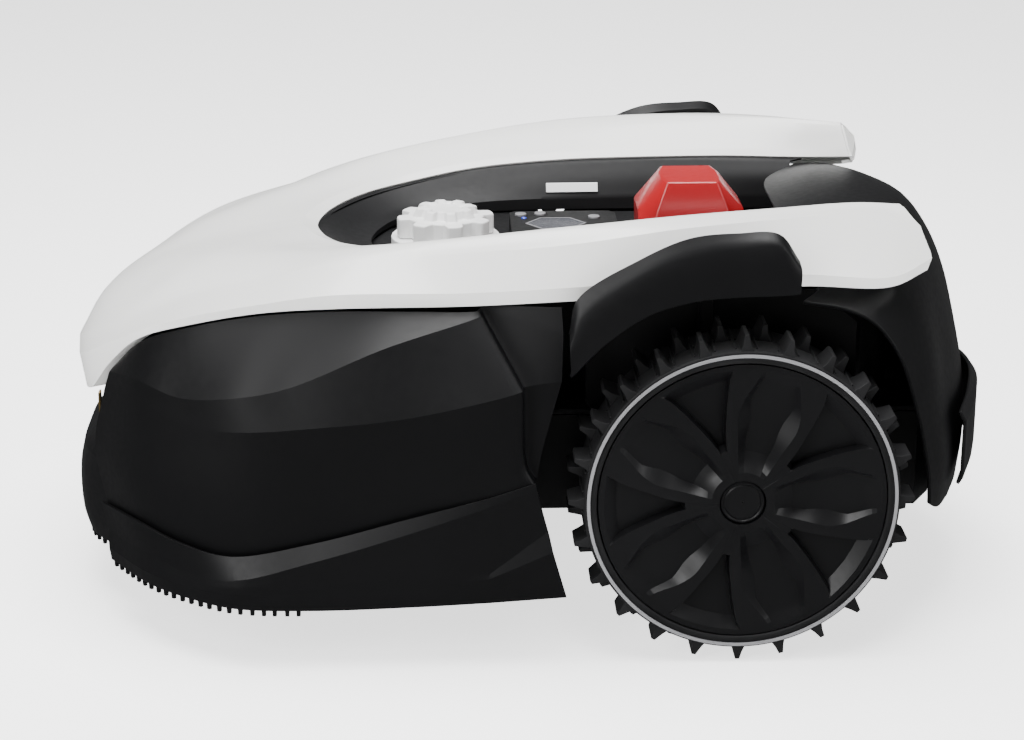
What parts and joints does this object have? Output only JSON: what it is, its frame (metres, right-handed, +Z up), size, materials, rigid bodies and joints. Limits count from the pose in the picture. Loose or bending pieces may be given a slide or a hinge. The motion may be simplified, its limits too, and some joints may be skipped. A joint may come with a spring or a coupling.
{
  "type": "robotic lawn mower",
  "caption": "Two-wheel-drive robotic mower: floating shell, lugged drive wheels, front castor, height-adjustable pivoting-blade disc, console with stop block.",
  "frame": {"origin": "on the ground under the middle of the machine's outer box", "axes": "+X forward, +Y the mower's left, +Z up; the drive wheels turn about Y"},
  "size_m": [0.637, 0.402, 0.2902],
  "materials": {
    "white_shell": "semi-gloss",
    "black_shell": "fine satin texture",
    "black_inner": "matt",
    "red_button": "semi-gloss",
    "white_knob": "satin",
    "tyre_rubber": "matt rubber",
    "wheel_black": "satin",
    "trim_grey": "satin",
    "steel": "brushed",
    "blade_steel": "ground",
    "brass_contact": "polished",
    "lens": "gloss",
    "battery_grey": "matt",
    "board_green": "satin"
  },
  "bodies": {
    "chassis": {"base_pan": "black_inner", "chassis_lid": "black_inner", "battery_hatch": "black_inner", "battery_pack": "battery_grey", "main_board": "board_green", "left_gearmotor": "steel", "right_gearmotor": "steel", "left_wheel_liner": "black_inner", "right_wheel_liner": "black_inner", "float_post_front": "tyre_rubber", "float_post_rear_left": "tyre_rubber", "float_post_rear_right": "tyre_rubber", "console_tray": "black_inner", "console_panel": "black_shell", "display_lens": "lens", "knob_base": "white_knob", "castor_housing": "black_inner", "stop_guide": "black_inner", "stop_spring": "steel"},
    "shell": {"top_cover": "white_shell", "well_bezel": "black_inner", "left_side_panel": "black_shell", "right_side_panel": "black_shell", "left_skirt": "black_shell", "right_skirt": "black_shell", "front_bumper": "black_shell", "left_fender": "black_shell", "right_fender": "black_shell", "rear_body": "black_shell", "rear_bumper": "black_inner", "left_charge_contact": "brass_contact", "right_charge_contact": "brass_contact"},
    "left_wheel": {"left_tyre": "tyre_rubber", "left_rim": "wheel_black", "left_wheel_cover": "wheel_black", "left_trim_ring": "trim_grey", "left_hub_cap": "wheel_black", "left_axle": "steel"},
    "right_wheel": {"right_tyre": "tyre_rubber", "right_rim": "wheel_black", "right_wheel_cover": "wheel_black", "right_trim_ring": "trim_grey", "right_hub_cap": "wheel_black", "right_axle": "steel"},
    "castor_swivel": {"castor_fork": "black_shell"},
    "castor_roller": {"castor_wheel": "tyre_rubber", "castor_axle": "steel"},
    "knob": {"height_knob": "white_knob", "lift_screw": "steel"},
    "deck": {"deck_carrier": "black_inner", "cutter_motor": "steel"},
    "disc": {"cutter_disc": "black_inner"},
    "stop": {"stop_button": "red_button"},
    "power": {"power_button": "trim_grey"},
    "home": {"home_button": "trim_grey"},
    "start": {"start_button": "trim_grey"},
    "blade1": {"blade_1": "blade_steel"},
    "blade2": {"blade_2": "blade_steel"},
    "blade3": {"blade_3": "blade_steel"}
  },
  "joints": [
    {"name": "shell_float", "type": "slide", "parent": "chassis", "child": "shell", "axis": [1, 0, 0], "range_m": [-0.005, 0.005], "stiffness_N_per_m": 2000},
    {"name": "left_wheel_spin", "type": "hinge", "parent": "chassis", "child": "left_wheel", "pos_m": [-0.128, 0.174, 0.112], "axis": [0, 1, 0], "continuous": true},
    {"name": "right_wheel_spin", "type": "hinge", "parent": "chassis", "child": "right_wheel", "pos_m": [-0.128, -0.174, 0.112], "axis": [0, 1, 0], "continuous": true},
    {"name": "castor_swivel", "type": "hinge", "parent": "chassis", "child": "castor_swivel", "pos_m": [0.238, 0, 0.1], "axis": [0, 0, 1], "continuous": true},
    {"name": "castor_spin", "type": "hinge", "parent": "castor_swivel", "child": "castor_roller", "pos_m": [0.216, 0, 0.036], "axis": [0, 1, 0], "continuous": true},
    {"name": "knob_turn", "type": "hinge", "parent": "chassis", "child": "knob", "pos_m": [0.06, 0, 0.245], "axis": [0, 0, 1], "range_deg": [0, 300]},
    {"name": "deck_lift", "type": "slide", "parent": "chassis", "child": "deck", "axis": [0, 0, 1], "range_m": [-0.04, 0]},
    {"name": "disc_spin", "type": "hinge", "parent": "deck", "child": "disc", "pos_m": [0.06, 0, 0.0615], "axis": [0, 0, 1], "continuous": true},
    {"name": "blade_1_pivot", "type": "hinge", "parent": "disc", "child": "blade1", "pos_m": [0.13, 0, 0.0585], "axis": [0, 0, 1], "continuous": true},
    {"name": "blade_2_pivot", "type": "hinge", "parent": "disc", "child": "blade2", "pos_m": [0.025, 0.06062, 0.0585], "axis": [0, 0, 1], "continuous": true},
    {"name": "blade_3_pivot", "type": "hinge", "parent": "disc", "child": "blade3", "pos_m": [0.025, -0.06062, 0.0585], "axis": [0, 0, 1], "continuous": true},
    {"name": "stop_press", "type": "slide", "parent": "chassis", "child": "stop", "axis": [0, 0, -1], "range_m": [0, 0.005], "stiffness_N_per_m": 1200, "springref_m": -0.002, "deforming": ["stop_spring"]},
    {"name": "power_press", "type": "slide", "parent": "chassis", "child": "power", "axis": [0, 0, -1], "range_m": [0, 0.001], "stiffness_N_per_m": 800, "springref_m": -0.001},
    {"name": "home_press", "type": "slide", "parent": "chassis", "child": "home", "axis": [0, 0, -1], "range_m": [0, 0.001], "stiffness_N_per_m": 800, "springref_m": -0.001},
    {"name": "start_press", "type": "slide", "parent": "chassis", "child": "start", "axis": [0, 0, -1], "range_m": [0, 0.001], "stiffness_N_per_m": 800, "springref_m": -0.001}
  ],
  "couplings": [
    {"joint": "knob_turn", "follows": "deck_lift", "rad_per_m": -130.89}
  ]
}
